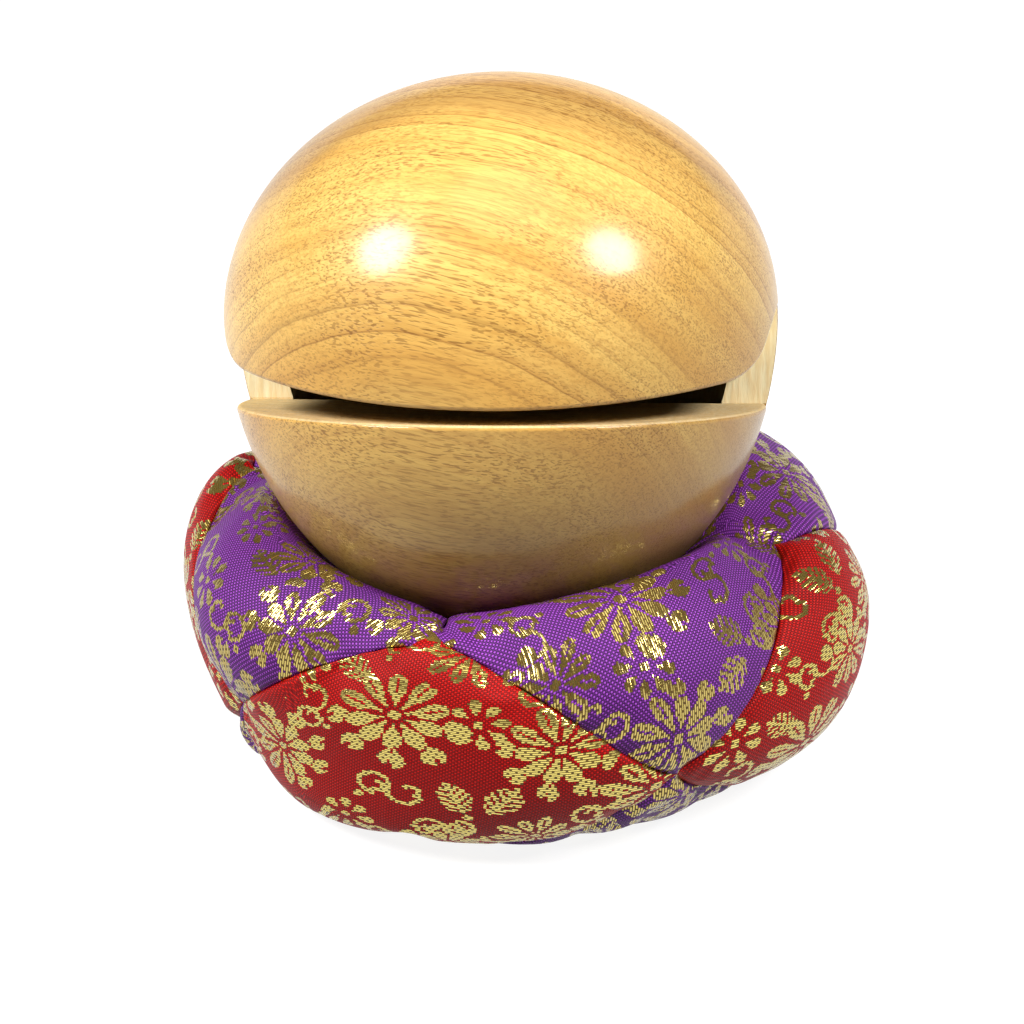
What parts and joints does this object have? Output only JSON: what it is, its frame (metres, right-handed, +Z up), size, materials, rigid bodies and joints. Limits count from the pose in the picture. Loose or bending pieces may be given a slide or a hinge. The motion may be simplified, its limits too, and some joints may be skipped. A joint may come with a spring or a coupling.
{
  "type": "mokugyo wooden fish",
  "caption": "Hollow round wooden temple drum with a mouth slit and a carved back handle, resting loose on a stuffed patchwork brocade cushion.",
  "frame": {"origin": "middle of the cushion's underside, on the surface that it stands on", "axes": "+Z up, -Y the side that the mouth faces, +X to the right of someone facing the mouth"},
  "size_m": [0.1532, 0.1534, 0.154],
  "materials": {
    "wood": "honey-coloured camphor wood under satin lacquer, bare inside the mouth",
    "purple_brocade": "purple woven brocade with gold flowers and scrolls",
    "red_brocade": "red woven brocade with gold flowers and scrolls",
    "wadding": "packed cotton wadding",
    "thread": "doubled sewing thread"
  },
  "bodies": {
    "cushion": {"cushion_stuffing": "wadding", "centre_tie": "thread", "top_patch_1": "purple_brocade", "top_patch_2": "purple_brocade", "top_patch_3": "purple_brocade", "top_patch_4": "purple_brocade", "side_patch_1": "red_brocade", "side_patch_2": "red_brocade", "side_patch_3": "red_brocade", "side_patch_4": "red_brocade", "base_patch_1": "purple_brocade", "base_patch_2": "purple_brocade", "base_patch_3": "purple_brocade", "base_patch_4": "purple_brocade"},
    "fish": {"fish_body": "wood"}
  },
  "joints": [
    {"name": "lift_off", "type": "slide", "parent": "cushion", "child": "fish", "axis": [0, 0, 1], "range_m": [0, 0.1]}
  ]
}
